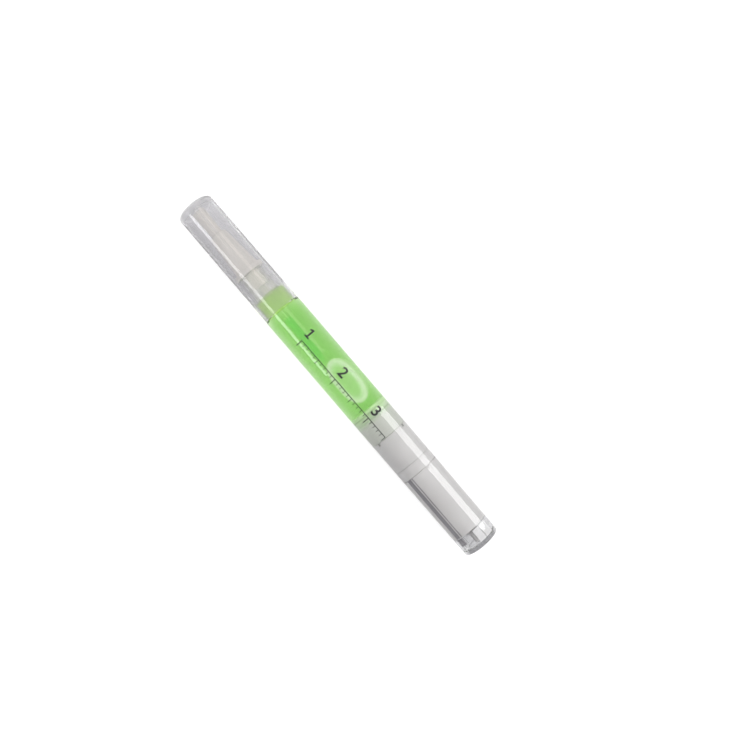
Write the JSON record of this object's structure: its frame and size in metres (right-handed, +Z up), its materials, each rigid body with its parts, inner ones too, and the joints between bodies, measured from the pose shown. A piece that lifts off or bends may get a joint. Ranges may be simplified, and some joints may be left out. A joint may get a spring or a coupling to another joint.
{
  "type": "cuticle oil pen",
  "caption": "Slim twist-up cuticle oil pen: clear barrel of green oil, white cone nozzle with a nylon brush under a clear cap, and a twist knob that drives a piston.",
  "frame": {"origin": "centre of the bounding box's underside, on the surface that the pen lies on", "axes": "+X along the pen's axis from cap to tail, +Z up, the pen lying on a facet of its barrel"},
  "size_m": [0.1276, 0.012, 0.0119],
  "materials": {
    "clear_plastic": "clear, polished",
    "green_oil": "clear tinted liquid",
    "white_plastic": "moulded, satin",
    "translucent_plastic": "milky, moulded",
    "nozzle_plastic": "moulded, satin",
    "nylon": "fine nylon filament"
  },
  "bodies": {
    "barrel_body": {"barrel": "clear_plastic", "oil_fill": "green_oil", "thread_nut": "white_plastic", "ratchet_ring": "white_plastic", "neck_plug": "translucent_plastic", "feed_tube": "translucent_plastic", "nozzle_cone": "nozzle_plastic", "brush_tuft": "nylon"},
    "cap_body": {"cap": "clear_plastic"},
    "knob_body": {"knob_shell": "clear_plastic", "drive_sleeve": "white_plastic", "click_ring": "white_plastic", "tail_plug": "clear_plastic"},
    "piston_body": {"piston": "translucent_plastic"},
    "spindle_body": {"spindle": "white_plastic"}
  },
  "joints": [
    {"name": "cap_pull", "type": "slide", "parent": "barrel_body", "child": "cap_body", "axis": [-1, 0, 0], "range_m": [0, 0.045]},
    {"name": "knob_twist", "type": "hinge", "parent": "barrel_body", "child": "knob_body", "pos_m": [0.0362, 0, 0.00597], "axis": [-1, 0, 0], "range_deg": [0, 4140], "deforming": ["click_ring"]},
    {"name": "piston_feed", "type": "slide", "parent": "barrel_body", "child": "piston_body", "axis": [-1, 0, 0], "range_m": [0, 0.03451], "deforming": ["oil_fill"]},
    {"name": "spindle_feed", "type": "slide", "parent": "knob_body", "child": "spindle_body", "axis": [-1, 0, 0], "range_m": [0, 0.03451]}
  ],
  "couplings": [
    {"joint": "piston_feed", "follows": "knob_twist", "m_per_rad": 0.00047746},
    {"joint": "spindle_feed", "follows": "knob_twist", "m_per_rad": 0.00047746}
  ]
}
